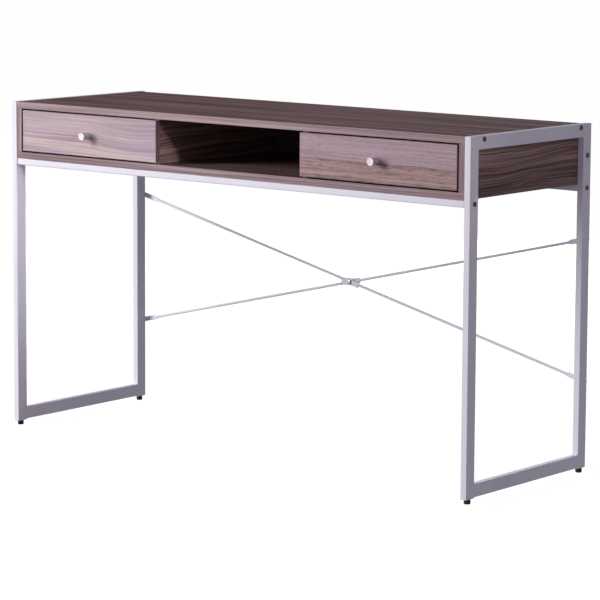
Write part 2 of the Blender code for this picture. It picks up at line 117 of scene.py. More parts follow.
def studio_shape(name, bm, paper):
    """Part of the studio: the camera sees it, and it throws no light on the desk."""
    mesh = bpy.data.meshes.new(name)
    bm.to_mesh(mesh)
    bm.free()
    mesh.materials.append(paper)
    shape = bpy.data.objects.new(name, mesh)
    shape.visible_diffuse = False
    shape.visible_glossy = False
    shape.visible_shadow = False
    bpy.context.scene.collection.objects.link(shape)
    shape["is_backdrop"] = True


STUDIO_RADIUS = 40.0
floor_disc = bmesh.new()
bmesh.ops.create_circle(floor_disc, cap_ends=True, segments=96, radius=STUDIO_RADIUS)
studio_shape("floor", floor_disc, studio_white("white_floor_paper", 0.30, 0.93))
sky_dome = bmesh.new()
bmesh.ops.create_uvsphere(sky_dome, u_segments=48, v_segments=24, radius=STUDIO_RADIUS)
studio_shape("sky", sky_dome, studio_white("white_sky", 0.0, 1.0))


def soft_light(name, place, aim, width, height, power, spread=180, colour=(1.0, 1.0, 1.0)):
    """A rectangular soft light turned to face a point."""
    lamp = bpy.data.lights.new(name, "AREA")
    lamp.shape = "RECTANGLE"
    lamp.size = width
    lamp.size_y = height
    lamp.energy = power
    lamp.color = colour
    lamp.spread = math.radians(spread)
    light = bpy.data.objects.new(name, lamp)
    light.location = place
    light.rotation_euler = (Vector(aim) - Vector(place)).to_track_quat("-Z", "Y").to_euler()
    light.visible_camera = False
    bpy.context.scene.collection.objects.link(light)


soft_light("front_left_light", (-4.2, -4.5, 2.5), (0.0, -0.1, 0.6), width=2.1, height=4.2, power=392)
soft_light(
    "right_light",
    (7.95, -1.87, 2.54),
    (-0.63, -0.33, 0.50),
    width=0.3,
    height=0.3,
    power=0.42,
    spread=5.7,
    colour=(0.95, 0.90, 1.0),
)
soft_light("right_fill", (7.0, -1.0, 1.6), (0.0, 0.0, 0.5), width=1.6, height=1.6, power=26)
soft_light("rear_light", (-1.6, 3.4, 0.66), (0.0, 0.2, 0.45), width=1.8, height=0.8, power=45)


# Side frames
# Each end of the desk is one closed loop of 28 by 15 mm rectangular steel tube, cut square, welded at the
# corners, ground flush outside and powder coated off-white. The posts run 2 mm past the lower rail.


class Amount:
    """A number that varies over a surface, written with ordinary arithmetic."""

    def __init__(self, finish, socket):
        self.finish = finish
        self.socket = socket

    def joined(self, operation, *others):
        sockets = dict(enumerate((self, *others)))
        made = self.finish.node("ShaderNodeMath", {"operation": operation}, sockets)
        return Amount(self.finish, made.outputs[0])

    def __add__(self, other):
        return self.joined("ADD", other)

    def __mul__(self, other):
        return self.joined("MULTIPLY", other)

    def __sub__(self, other):
        return self.joined("SUBTRACT", other)

    def __rsub__(self, other):
        return (self * -1.0) + other

    __radd__ = __add__
    __rmul__ = __mul__

    def wave(self, spacing):
        """Swings between -1 and 1 once in each spacing."""
        return (self * (math.tau / spacing)).joined("SINE")

    def between(self, low, high):
        """Rises smoothly from 0 at low to 1 at high."""
        settings = {"interpolation_type": "SMOOTHSTEP"}
        sockets = {"Value": self, "From Min": low, "From Max": high}
        made = self.finish.node("ShaderNodeMapRange", settings, sockets)
        return Amount(self.finish, made.outputs[0])


class Finish:
    """A material on one Principled shader, and the methods that build it up."""

    def __init__(self, name, colour, roughness, metallic=0.0, specular=0.5):
        self.material = bpy.data.materials.new(name)
        self.material.use_nodes = True
        self.tree = self.material.node_tree
        self.shader = self.tree.nodes["Principled BSDF"]
        self.shader.inputs["Base Color"].default_value = (*colour, 1.0)
        self.shader.inputs["Roughness"].default_value = roughness
        self.shader.inputs["Metallic"].default_value = metallic
        self.shader.inputs["Specular IOR Level"].default_value = specular

    def node(self, kind, settings=None, sockets=None):
        """Any node: its settings first, then a value or a link for each named socket."""
        made = self.tree.nodes.new(kind)
        for key, value in (settings or {}).items():
            if key != "stops":
                setattr(made, key, value)
                continue
            stops = made.color_ramp.elements
            while len(stops) < len(value):
                stops.new(0.5)
            for stop, (position, colour) in zip(stops, value):
                stop.position = position
                stop.color = (*colour, 1.0)
        for key, value in (sockets or {}).items():
            source = getattr(value, "socket", value)
            if isinstance(source, bpy.types.NodeSocket):
                self.tree.links.new(source, made.inputs[key])
            else:
                made.inputs[key].default_value = source
        return made

    def feed(self, name, value):
        """Links a varying value to one of the shader's sockets."""
        self.tree.links.new(getattr(value, "socket", value), self.shader.inputs[name])

    def place(self, turn=0.0):
        """Object coordinates, turned about Z by the given angle."""
        coordinates = self.node("ShaderNodeTexCoord").outputs["Object"]
        sockets = {"Vector": coordinates, "Rotation": (0.0, 0.0, turn)}
        return self.node("ShaderNodeMapping", None, sockets).outputs["Vector"]

    def mottle(self, place, stretch, seed=0.0, detail=2.0):
        """Cloudy noise between 0 and 1, with a different number of clouds a metre along each axis."""
        if not hasattr(stretch, "__len__"):
            stretch = (stretch, stretch, stretch)
        sockets = {0: place, 1: stretch, 2: (seed, seed * 1.7, seed * 2.3)}
        scaled = self.node("ShaderNodeVectorMath", {"operation": "MULTIPLY_ADD"}, sockets).outputs[0]
        noise = self.node("ShaderNodeTexNoise", None, {"Vector": scaled, "Scale": 1.0, "Detail": detail})
        return Amount(self, noise.outputs[0])

    def ramp(self, amount, stops):
        """A colour read from stops of (position, colour)."""
        return self.node("ShaderNodeValToRGB", {"stops": stops}, {"Fac": amount}).outputs[0]

    def blend(self, share, first, second, blend_type="MIX"):
        """Two colours mixed by a share."""
        settings = {"data_type": "RGBA", "blend_type": blend_type}
        return self.node("ShaderNodeMix", settings, {0: share, 6: first, 7: second}).outputs[2]

    def rise(self, height, distance, strength=1.0):
        """Roughens the surface by a bump whose full height is the given distance in metres."""
        sockets = {"Height": height, "Distance": distance, "Strength": strength}
        self.feed("Normal", self.node("ShaderNodeBump", None, sockets).outputs[0])


def powder_coat():
    """Satin off-white powder coat with a faint orange peel and a little shade drift along each tube."""
    finish = Finish("white_powder_coat", (0.86, 0.84, 0.91), 0.60, specular=0.22)
    place = finish.place()
    drift = finish.mottle(place, (6.0, 6.0, 3.0), 1.0)
    speckle = finish.mottle(place, 900.0, 2.0, 1.0)
    shade = drift * 0.7 + speckle * 0.3
    tints = [(0.30, (0.815, 0.798, 0.868)), (0.70, (0.890, 0.874, 0.940))]
    finish.feed("Base Color", finish.ramp(shade, tints))
    finish.feed("Roughness", 0.55 + drift * 0.08 + speckle * 0.06)
    finish.rise(finish.mottle(place, 520.0, 3.0, 2.0), 0.00006, 0.35)
    return finish


def piece_from(name, bm, finish, body, nodes=(), sharp=35, even=False):
    """Makes a finished piece from a bmesh: it rides on a body and stands for its CAD nodes."""
    mesh = bpy.data.meshes.new(name)
    bm.to_mesh(mesh)
    bm.free()
    mesh.materials.append(finish.material)
    mesh.shade_smooth()
    mesh.set_sharp_from_angle(angle=math.radians(sharp))
    piece = bpy.data.objects.new(name, mesh)
    bpy.context.scene.collection.objects.link(piece)
    if even:
        flats = piece.modifiers.new("flat faces stay flat", "WEIGHTED_NORMAL")
        flats.keep_sharp = True
    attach(piece, body)
    if nodes:
        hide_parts(*nodes)
    return piece


def round_edges(bm, edges, radius, segments=3):
    """Rounds the given edges."""
    bmesh.ops.bevel(
        bm,
        geom=edges,
        offset=radius,
        offset_type="OFFSET",
        affect="EDGES",
        segments=segments,
        profile=0.5,
        material=-1,
        clamp_overlap=True,
    )


TUBE_DEPTH = 0.028
POST_PAST_RAIL = 0.002
TUBE_CORNER = 0.0021
BEAD_RADIUS = 0.0024
BEAD_RIPPLES = 9
BEAD_SIDES = 10
BEAD_VALLEY = 0.86
BEAD_CLOSING = 0.55
white_coat = powder_coat()


def welded_loop(low, high):
    """The loop as one skin: a grid in the YZ plane, less its openings, given its width in X."""
    y_lines = (low.y, low.y + TUBE_DEPTH, high.y - TUBE_DEPTH, high.y)
    rail = low.z + POST_PAST_RAIL
    z_lines = (low.z, rail, rail + TUBE_DEPTH, high.z - TUBE_DEPTH, high.z)
    bm = bmesh.new()
    bmesh.ops.create_grid(bm, x_segments=3, y_segments=4, size=0.5)
    for vert in bm.verts:
        column = round((vert.co.x + 0.5) * 3)
        row = round((vert.co.y + 0.5) * 4)
        vert.co = (low.x, y_lines[column], z_lines[row])
    openings = []
    for face in bm.faces:
        middle = face.calc_center_median()
        under_rail = middle.z < rail
        between_rails = rail + TUBE_DEPTH < middle.z < high.z - TUBE_DEPTH
        if y_lines[1] < middle.y < y_lines[2] and (under_rail or between_rails):
            openings.append(face)
    bmesh.ops.delete(bm, geom=openings, context="FACES")
    grown = bmesh.ops.extrude_face_region(bm, geom=bm.faces[:])
    far_side = [item for item in grown["geom"] if isinstance(item, bmesh.types.BMVert)]
    bmesh.ops.translate(bm, vec=(high.x - low.x, 0, 0), verts=far_side)
    bmesh.ops.recalc_face_normals(bm, faces=bm.faces)
    corners = [edge for edge in bm.edges if edge.calc_face_angle(0) > math.radians(30)]
    round_edges(bm, corners, TUBE_CORNER)
    return bm


def ring_edges(ring):
    """The edges of a new ring of vertices, each once and always in the same order."""
    return list(dict.fromkeys(edge for vert in ring for edge in vert.link_edges))


def skin_rings(bm, rings):
    """Joins rings of edges, one to the next, into a bar closed at both ends."""
    for first, second in zip(rings, rings[1:]):
        bmesh.ops.bridge_loops(bm, edges=first + second)
    for last in (rings[0], rings[-1]):
        bmesh.ops.contextual_create(bm, geom=last)


def add_bead(bm, middle, length, radius):
    """A weld bead along X: a bar of overlapping ripples."""
    steps = BEAD_RIPPLES * 2
    rings = []
    for step in range(steps + 1):
        swell = 1.0 if step % 2 else BEAD_VALLEY
        closing = BEAD_CLOSING if step in (0, steps) else 1.0
        x = middle.x + length * (step / steps - 0.5)
        ring = bmesh.ops.create_circle(
            bm,
            segments=BEAD_SIDES,
            radius=radius * swell * closing,
            matrix=Matrix.Translation((x, middle.y, middle.z)) @ Matrix.Rotation(math.pi / 2, 4, "Y"),
        )
        rings.append(ring_edges(ring["verts"]))
    skin_rings(bm, rings)


for side in SIDES:
    node = f"side_frame_{side}"
    low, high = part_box(node)
    loop = welded_loop(low, high)
    piece_from(f"loop_frame_{side}", loop, white_coat, "desk", [node], even=True)
    beads = bmesh.new()
    middle_x = (low.x + high.x) / 2
    bead_length = high.x - low.x - 2 * TUBE_CORNER
    rail_top = low.z + POST_PAST_RAIL + TUBE_DEPTH
    rail_bottom = high.z - TUBE_DEPTH
    for y in (low.y + TUBE_DEPTH, high.y - TUBE_DEPTH):
        for z in (rail_top, rail_bottom):
            add_bead(beads, Vector((middle_x, y, z)), bead_length, BEAD_RADIUS)
    bmesh.ops.recalc_face_normals(beads, faces=beads.faces)
    piece_from(f"corner_welds_{side}", beads, white_coat, "desk", sharp=60)


# Stretchers
# Two lengths of the same tube lie flat under the case, front and back, and are bolted through the posts.


def block(low, high, radius, segments=3):
    """A box between two corners with all its edges rounded."""
    bm = bmesh.new()
    bmesh.ops.create_cube(bm, size=1.0)
    bmesh.ops.scale(bm, vec=high - low, verts=bm.verts)
    bmesh.ops.translate(bm, vec=(low + high) / 2, verts=bm.verts)
    round_edges(bm, bm.edges[:], radius, segments)
    return bm


for end in ("front", "rear"):
    node = f"stretcher_{end}"
    low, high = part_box(node)
    tube = block(low, high, TUBE_CORNER)
    piece_from(f"cross_tube_{end}", tube, white_coat, "desk", [node], even=True)


# Case boards
# The case is 15 mm chipboard faced with printed woodgrain laminate, dowelled and glued. The edges that show
# carry a strip of matching 0.8 mm edging, whose joint is a fine dark line round each board. The edging's
# tones are lighter than the faces', partly a painted sheen from the front left light.

EDGING = 0.0008
EDGING_EASE = 0.000336
BOARD_EASE = 0.00021
GLUE_LINE = 0.00008
TAUPE = ((0.060, 0.034, 0.032), (0.125, 0.075, 0.070), (0.190, 0.118, 0.110), (0.290, 0.195, 0.182))
TAUPE_TOP = ((0.066, 0.036, 0.034), (0.145, 0.084, 0.078), (0.232, 0.140, 0.130), (0.370, 0.246, 0.230))
TAUPE_SIDES = ((0.075, 0.044, 0.038), (0.185, 0.113, 0.100), (0.325, 0.208, 0.183), (0.480, 0.328, 0.284))
# Edging tones: the edging's own colour, lightened with a painted sheen from the front left light.
TAUPE_EDGING_AND_SHEEN = ((0.150, 0.087, 0.092), (0.240, 0.151, 0.160), (0.330, 0.218, 0.229), (0.425, 0.296, 0.308))


def woodgrain(
    name,
    tones,
    along="X",
    seed=0.0,
    lines=0.5,
    spacing=0.0052,
    sway=0.014,
    banding=0.30,
    flecks=0.0,
    gloss=0.50,
    specular=0.30,
    haze=None,
    haze_above=None,
):
    """Printed woodgrain along one axis: broad bands, wavy growth lines, fibres and short pores.

    Tones run from dark to light. Lines is how strongly the growth lines show, spacing is how far apart they
    are and sway is how far they wander, both in metres. Banding and flecks are how strongly the bands and the
    short dark marks show. A haze colour clouds some of the bands, or all of the sheet above a height; on the
    left drawer front that haze is a painted sheen.
    """
    finish = Finish(name, tones[1], gloss, specular=specular)
    place = finish.place(-math.pi / 2 if along == "Y" else 0.0)
    if along == "Z":
        upright = {"Vector": place, "Rotation": (0.0, math.pi / 2, 0.0)}
        place = finish.node("ShaderNodeMapping", None, upright).outputs["Vector"]
    parts = finish.node("ShaderNodeSeparateXYZ", None, {0: place}).outputs
    across = Amount(finish, parts[1]) + Amount(finish, parts[2])
    through = (Amount(finish, parts[1]) - Amount(finish, parts[2])) * 0.02
    long_drift = finish.mottle(place, (3.2, 8.0, 8.0), seed + 3.1, 1.0) - 0.5
    short_drift = finish.mottle(place, (10.0, 22.0, 22.0), seed + 4.3, 0.0) - 0.5
    drift = long_drift * (2.4 * sway) + short_drift * (0.22 * sway)
    line = across + drift
    swayed = finish.node("ShaderNodeCombineXYZ", None, {0: parts[0], 1: line, 2: through}).outputs[0]
    bands = finish.mottle(swayed, (1.3, 44.0, 44.0), seed, 2.0).between(0.34, 0.66)
    growth = line.wave(spacing).between(-0.2, 1.0)
    here = finish.mottle(swayed, (2.0, 34.0, 34.0), seed + 5.3, 1.0).between(0.36, 0.60)
    streaks = finish.mottle(swayed, (2.6, 360.0, 360.0), seed + 7.7, 1.5).between(0.32, 0.68)
    fibres = finish.mottle(swayed, (9.0, 800.0, 800.0), seed + 8.3, 2.0).between(0.28, 0.72)
    pores = finish.mottle(swayed, (60.0, 1300.0, 1300.0), seed + 9.1, 1.0).between(0.58, 0.72)
    tone = 0.5 + (bands - 0.5) * banding + (streaks - 0.5) * 0.46 + (fibres - 0.5) * 0.26
    tone = tone - growth * here * (0.30 * lines) - pores * 0.16
    if flecks:
        marks = finish.mottle(swayed, (52.0, 310.0, 310.0), seed + 6.1, 1.0).between(0.52, 0.66)
        tone = tone - marks * flecks
    stops = [(0.05, tones[0]), (0.34, tones[1]), (0.60, tones[2]), (0.90, tones[3])]
    colour = finish.ramp(tone, stops)
    if haze:
        light_haze = tuple(part * 1.14 for part in haze)
        dark_haze = tuple(part * 0.80 for part in haze)
        hazed = finish.ramp(tone, [(0.15, dark_haze), (0.80, light_haze)])
        clouds = finish.mottle(swayed, (1.5, 24.0, 24.0), seed + 12.9, 1.0).between(0.44, 0.58)
        if haze_above is not None:
            clouds = (Amount(finish, parts[2]) - haze_above).between(-0.0015, 0.0015)
        colour = finish.blend(clouds * 0.8, colour, hazed)
    finish.feed("Base Color", colour)
    finish.feed("Roughness", (gloss - 0.04) + fibres * 0.08 + pores * 0.12)
    finish.rise(fibres * 0.7 - pores * 0.7 - growth * 0.2, 0.00008, 0.30)
    return finish


def edged_board(name, node, face, band=None, body="desk", front=False, ends=None, around=False):
    """A board with strips of edging down its front edge and over its ends, or round a drawer front."""
    low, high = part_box(node)
    core_low, core_high = low.copy(), high.copy()
    inset = EDGING + GLUE_LINE
    strips = []
    if front:
        core_low.y = low.y + inset
        strips.append((low, Vector((high.x, low.y + EDGING, high.z)), band))
    if around:
        core_low += Vector((inset, 0, inset))
        core_high -= Vector((inset, 0, inset))
        for z in (low.z, high.z - EDGING):
            strips.append((Vector((low.x, low.y, z)), Vector((high.x, high.y, z + EDGING)), band))
        for x in (low.x, high.x - EDGING):
            strip_low = Vector((x, low.y, low.z + inset))
            strips.append((strip_low, Vector((x + EDGING, high.y, high.z - inset)), ends))
    elif ends:
        core_low.x = low.x + inset
        core_high.x = high.x - inset
        for x in (low.x, high.x - EDGING):
            strip_low = Vector((x, core_low.y, low.z))
            strips.append((strip_low, Vector((x + EDGING, high.y, high.z)), ends))
    core = block(core_low, core_high, BOARD_EASE, 2)
    piece_from(name, core, face, body, [node], even=True)
    for number, (strip_low, strip_high, strip_face) in enumerate(strips, 1):
        strip = block(strip_low, strip_high, EDGING_EASE, 2)
        piece_from(f"{name}_edging_{number}", strip, strip_face, body, even=True)


EDGING_LOOK = {"lines": 0.3, "sway": 0.003, "gloss": 0.38, "specular": 0.40}
edging = woodgrain("woodgrain_edging", TAUPE_EDGING_AND_SHEEN, seed=2.0, **EDGING_LOOK)
edging_upright = woodgrain("woodgrain_edging_upright", TAUPE_EDGING_AND_SHEEN, "Z", 4.0, **EDGING_LOOK)
end_edging = woodgrain("woodgrain_end_edging", TAUPE, "Y", 6.0, lines=0.4, sway=0.004)
top_grain = woodgrain("woodgrain_top", TAUPE_TOP, seed=11.0, lines=0.3, sway=0.006, gloss=0.74, specular=0.10)
edged_board("case_top", "top_board", top_grain, edging, front=True)
base_grain = woodgrain("woodgrain_base", TAUPE, seed=17.0)
edged_board("case_base", "bottom_board", base_grain, edging, front=True, ends=end_edging)
edged_board("case_back", "back_panel", woodgrain("woodgrain_back", TAUPE, seed=23.0))
for side, sign in SIDES.items():
    end_grain = woodgrain(f"woodgrain_end_{side}", TAUPE_SIDES, "Y", 29.0 + sign, lines=1.0, sway=0.020)
    edged_board(f"case_end_{side}", f"side_panel_{side}", end_grain, edging_upright, front=True)
    inner_grain = woodgrain(f"woodgrain_divider_{side}", TAUPE_SIDES, "Y", 37.0 + sign, lines=1.0, sway=0.020)
    edged_board(f"case_divider_{side}", f"divider_{side}", inner_grain, edging_upright, front=True)


# Frame screws
# Button-head machine screws hold the top, the back and the stretchers to the frames: plated steel, each with
# a hexagon socket. Their steel is darkened to paint the dark surroundings that it reflects.

SCREW_HEAD = 0.0055
SCREW_DOME = 0.0026
SCREW_STEPS = 24
SOCKET_FLAT = 0.0016
SOCKET_FIT = 0.90
THREAD_TURNS = 10
THREAD_ROOT = 0.88
M5_SHANK = 0.0025


def plated(name, colour, roughness):
    """Plated steel with the fine turned texture of a bought screw."""
    finish = Finish(name, colour, roughness, metallic=1.0)
    grain = finish.mottle(finish.place(), 1400.0, 4.0, 2.0)
    finish.feed("Roughness", (roughness - 0.06) + grain * 0.14)
    light = tuple(min(1.0, part * 1.2) for part in colour)
    dark = tuple(part * 0.75 for part in colour)
    finish.feed("Base Color", finish.ramp(grain, [(0.3, dark), (0.7, light)]))
    finish.rise(grain, 0.00002, 0.3)
    return finish


def turned(profile, axis, place, steps=SCREW_STEPS):
    """A turned piece: profile is (radius, distance along the axis), from axis to axis."""
    bm = bmesh.new()
    verts = [bm.verts.new((radius, 0, along)) for radius, along in profile]
    edges = [bm.edges.new(pair) for pair in zip(verts, verts[1:])]
    bmesh.ops.spin(
        bm,
        geom=verts + edges,
        cent=(0, 0, 0),
        axis=(0, 0, 1),
        angle=math.tau,
        steps=steps,
        use_merge=True,
    )
    bmesh.ops.remove_doubles(bm, verts=bm.verts, dist=1e-6)
    bmesh.ops.recalc_face_normals(bm, faces=bm.faces)
    turn = Vector((0, 0, 1)).rotation_difference(Vector(axis)).to_matrix().to_4x4()
    bmesh.ops.transform(bm, matrix=Matrix.Translation(place) @ turn, verts=bm.verts)
    return bm


def arc(start, end, steps):
    """Points from start to end along a quarter curve that leaves start level and meets end upright."""
    points = []
    for step in range(steps + 1):
        angle = step / steps * math.pi / 2
        radius = start[0] + (end[0] - start[0]) * math.sin(angle)
        along = end[1] + (start[1] - end[1]) * math.cos(angle)
        points.append((radius, along))
    return points


def button_screw(name, node, axis, finish, body, shank):
    """A domed head on a threaded shank. The axis points into the work; the head is at the box's near end."""
    low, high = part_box(node)
    axis = Vector(axis)
    length = abs((high - low).dot(axis))
    top = (low + high) / 2 - axis * (length / 2)
    rim = SCREW_DOME * 0.12
    well = SCREW_DOME * 0.62
    profile = [(0, well * 1.15), (SOCKET_FLAT * 0.92, well)]
    profile += [(SOCKET_FLAT * 0.98, rim * 1.6), (SOCKET_FLAT * 1.12, rim * 0.3)]
    profile += arc((SOCKET_FLAT * 1.3, 0), (SCREW_HEAD, SCREW_DOME * 0.86), 6)
    profile += [(SCREW_HEAD * 0.985, SCREW_DOME), (shank * 1.08, SCREW_DOME)]
    thread_start = SCREW_DOME + shank
    thread_end = length - shank * 0.5
    pitch = (thread_end - thread_start) / THREAD_TURNS
    for turn in range(THREAD_TURNS):
        start = thread_start + pitch * turn
        profile += [(shank * THREAD_ROOT, start + pitch * 0.1), (shank, start + pitch * 0.5)]
    profile += [(shank * THREAD_ROOT, thread_end), (shank * 0.5, length), (0, length)]
    bm = turned(profile, axis, top)
    for vert in bm.verts:
        spot = vert.co - top
        depth = spot.dot(axis)
        out = spot - axis * depth
        if SOCKET_FLAT * 0.5 < out.length < SOCKET_FLAT * 1.05 and depth < well * 1.1:
            angle = out.angle(axis.orthogonal())
            from_flat = (angle + math.pi / 6) % (math.pi / 3) - math.pi / 6
            vert.co = top + axis * depth + out * (SOCKET_FIT / math.cos(from_flat))
    piece_from(name, bm, finish, body, [node], sharp=38)


# The dark plate is plated steel darkened to paint dark reflections of the room.
reflection_darkened_plate = plated("plated_steel_painted_dark_reflection", (0.20, 0.18, 0.21), 0.17)
bright_plate = plated("bright_plated_steel", (0.66, 0.65, 0.68), 0.26)
for side, sign in SIDES.items():
    for label in ("top_front", "top_rear", "back_panel", "stretcher_rear", "stretcher_front"):
        node = f"screw_{label}_{side}"
        button_screw(f"button_{node}", node, (-sign, 0, 0), reflection_darkened_plate, "desk", M5_SHANK)


# Levelling feet
# Moulded black plastic glides with a gripped rim, on threaded stems that turn in the ends of the posts.

GRIPS = 12
GRIP_DEPTH = 0.0005
GLIDE_TOP = 0.0097
STEM_RADIUS = 0.003
STEM_THREADS = 8
STEM_PITCH = 0.0022


def foot_plastic():
    """Slightly pebbled black plastic."""
    finish = Finish("black_plastic", (0.018, 0.017, 0.018), 0.5)
    place = finish.place()
    pebble = finish.mottle(place, 1100.0, 6.0, 2.0)
    scuff = finish.mottle(place, (90.0, 90.0, 260.0), 8.0, 2.0)
    tints = [(0.35, (0.012, 0.011, 0.012)), (0.75, (0.035, 0.033, 0.035))]
    finish.feed("Base Color", finish.ramp(scuff, tints))
    finish.feed("Roughness", 0.42 + pebble * 0.2)
    finish.rise(pebble, 0.00008, 0.4)
    return finish


glide_plastic = foot_plastic()
for end in ("front", "rear"):
    for side in SIDES:
        node = f"foot_{end}_{side}"
        low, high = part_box(node)
        middle = (low + high) / 2
        radius = (high.x - low.x) / 2
        profile = [(0, 0), (radius * 0.82, 0), (radius * 0.93, 0.0005), (radius, 0.0020), (radius, 0.0078)]
        profile += [(radius * 0.95, 0.0088), (radius * 0.88, GLIDE_TOP), (STEM_RADIUS, GLIDE_TOP)]
        for thread in range(STEM_THREADS):
            start = GLIDE_TOP + 0.001 + thread * STEM_PITCH
            profile += [(STEM_RADIUS * 0.86, start), (STEM_RADIUS * 0.98, start + STEM_PITCH / 2)]
        profile += [(STEM_RADIUS * 0.8, high.z), (0, high.z)]
        glide = turned(profile, (0, 0, 1), (middle.x, middle.y, 0), GRIPS * 4)
        for vert in glide.verts:
            out = Vector((vert.co.x - middle.x, vert.co.y - middle.y, 0))
            if out.length > radius * 0.97 and 0.0015 < vert.co.z < 0.0085:
                dip = 0.5 - 0.5 * math.cos(math.atan2(out.y, out.x) * GRIPS)
                vert.co -= out.normalized() * (GRIP_DEPTH * dip)
        piece_from(f"glide_{end}_{side}", glide, glide_plastic, node, [node], sharp=40)


# Cross brace
# Four 6 mm steel rods keep the frames square. Each is pressed flat where a bolt holds it to the back of a
# post, and welded at its other end to a small plate; one bolt and nut clamp the three plates together.

ROD_SIDES = 20
ROD_RADIUS = 0.003
TAB_HALF_WIDTH = 0.0055
TAB_HALF_THICK = 0.0012
TAB_PAST_BOLT = 0.006
TAB_LENGTH = 0.038
TAB_TAPER = 0.014
TAB_ROUNDING = (0.35, 0.7, 1.1, math.pi / 2)
TAB_SQUARENESS = 4.0
TAPER_STEPS = 5
PLATE_REACH = 0.026
PLATE_PAST_BOLT = 0.007
PLATE_CORNER = 0.0022
PLATE_EASE = 0.0004
LEFT_PLATE_HALF = 0.0085
RIGHT_PLATE_HALF = 0.0065
ROD_PAST_PLATE = {"left": 0.0012, "right": -0.0004}
WELD_SPOT = (0.0030, 0.0024, 0.0036)
WELD_SPOT_BACK = 0.0006
NUT_FACE_RIM = 0.0016


def rod_between(bolt_place, plate_place):
    """A rod drawn from its flattened end round the bolt to its welded end."""
    along = (plate_place - bolt_place).normalized()
    across = Vector((-along.z, 0, along.x))
    start = bolt_place - along * TAB_PAST_BOLT
    tab_end = TAB_PAST_BOLT + TAB_LENGTH
    sections = []
    for turn in TAB_ROUNDING:
        wide = TAB_HALF_WIDTH * math.sin(turn)
        sections.append((TAB_PAST_BOLT * (1 - math.cos(turn)), wide, TAB_HALF_THICK, TAB_SQUARENESS))
    sections.append((tab_end, TAB_HALF_WIDTH, TAB_HALF_THICK, TAB_SQUARENESS))
    for step in range(1, TAPER_STEPS + 1):
        share = step / TAPER_STEPS
        ease = share * share * (3 - 2 * share)
        wide = TAB_HALF_WIDTH + (ROD_RADIUS - TAB_HALF_WIDTH) * ease
        thick = TAB_HALF_THICK + (ROD_RADIUS - TAB_HALF_THICK) * ease
        squareness = TAB_SQUARENESS + (2.0 - TAB_SQUARENESS) * ease
        sections.append((tab_end + TAB_TAPER * share, wide, thick, squareness))
    sections.append(((plate_place - start).length, ROD_RADIUS, ROD_RADIUS, 2.0))
    bm = bmesh.new()
    rings = []
    for distance, wide, thick, squareness in sections:
        circle = bmesh.ops.create_circle(bm, segments=ROD_SIDES, radius=1.0)["verts"]
        for vert in circle:
            cosine, sine = vert.co.x, vert.co.y
            u = math.copysign(abs(cosine) ** (2 / squareness), cosine) * wide
            w = math.copysign(abs(sine) ** (2 / squareness), sine) * thick
            vert.co = start + along * distance + across * u + Vector((0, w, 0))
        rings.append(ring_edges(circle))
    skin_rings(bm, rings)
    bmesh.ops.recalc_face_normals(bm, faces=bm.faces)
    return bm


left_plate_low, left_plate_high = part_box("brace_plate_left")
brace_middle = (left_plate_low + left_plate_high) / 2
brace_middle.x = 0.0
plate_thick = left_plate_high.y - left_plate_low.y
for side in SIDES:
    for level in ("upper", "lower"):
        bolt = f"brace_bolt_{level}_{side}"
        bolt_low, bolt_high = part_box(bolt)
        at_post = (bolt_low + bolt_high) / 2
        at_post.y = brace_middle.y
        outward = (at_post - brace_middle).normalized()
        clear = PLATE_REACH + ROD_PAST_PLATE[side]
        rod = rod_between(at_post, brace_middle + outward * clear)
        name = f"brace_rod_{level}_{side}"
        piece_from(f"painted_{name}", rod, white_coat, "desk", [name], sharp=50)
        spot = bmesh.new()
        bmesh.ops.create_icosphere(spot, subdivisions=3, radius=1.0)
        slope = Matrix.Rotation(-math.atan2(outward.z, outward.x), 4, "Y")
        squeeze = Matrix.Diagonal((*WELD_SPOT, 1.0))
        spot_place = Matrix.Translation(brace_middle + outward * (clear - WELD_SPOT_BACK))
        bmesh.ops.transform(spot, matrix=spot_place @ slope @ squeeze, verts=spot.verts)
        piece_from(f"brace_weld_{level}_{side}", spot, white_coat, "desk", sharp=80)
        button_screw(f"button_{bolt}", bolt, (0, -1, 0), reflection_darkened_plate, "desk", M5_SHANK)


def brace_plate(name, node, half_width, tilt):
    """A stamped plate with round corners, turned to its slope about the bolt."""
    low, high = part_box(node)
    sign = 1 if (low.x + high.x) > 0 else -1
    near, far = sorted((-sign * PLATE_PAST_BOLT, sign * PLATE_REACH))
    half_thick = plate_thick / 2
    bm = bmesh.new()
    bmesh.ops.create_cube(bm, size=1.0)
    bmesh.ops.scale(bm, vec=(far - near, plate_thick, 2 * half_width), verts=bm.verts)
    bmesh.ops.translate(bm, vec=((far + near) / 2, 0, 0), verts=bm.verts)
    corners = [edge for edge in bm.edges if abs(edge.verts[0].co.y - edge.verts[1].co.y) > half_thick]
    round_edges(bm, corners, PLATE_CORNER, 4)
    rims = [edge for edge in bm.edges if edge.calc_face_angle(0) > math.radians(60)]
    round_edges(bm, rims, PLATE_EASE, 2)
    place = Matrix.Translation((0, (low.y + high.y) / 2, brace_middle.z))
    bmesh.ops.transform(bm, matrix=place @ Matrix.Rotation(tilt, 4, "Y"), verts=bm.verts)
    piece_from(name, bm, white_coat, "desk", [node], even=True)


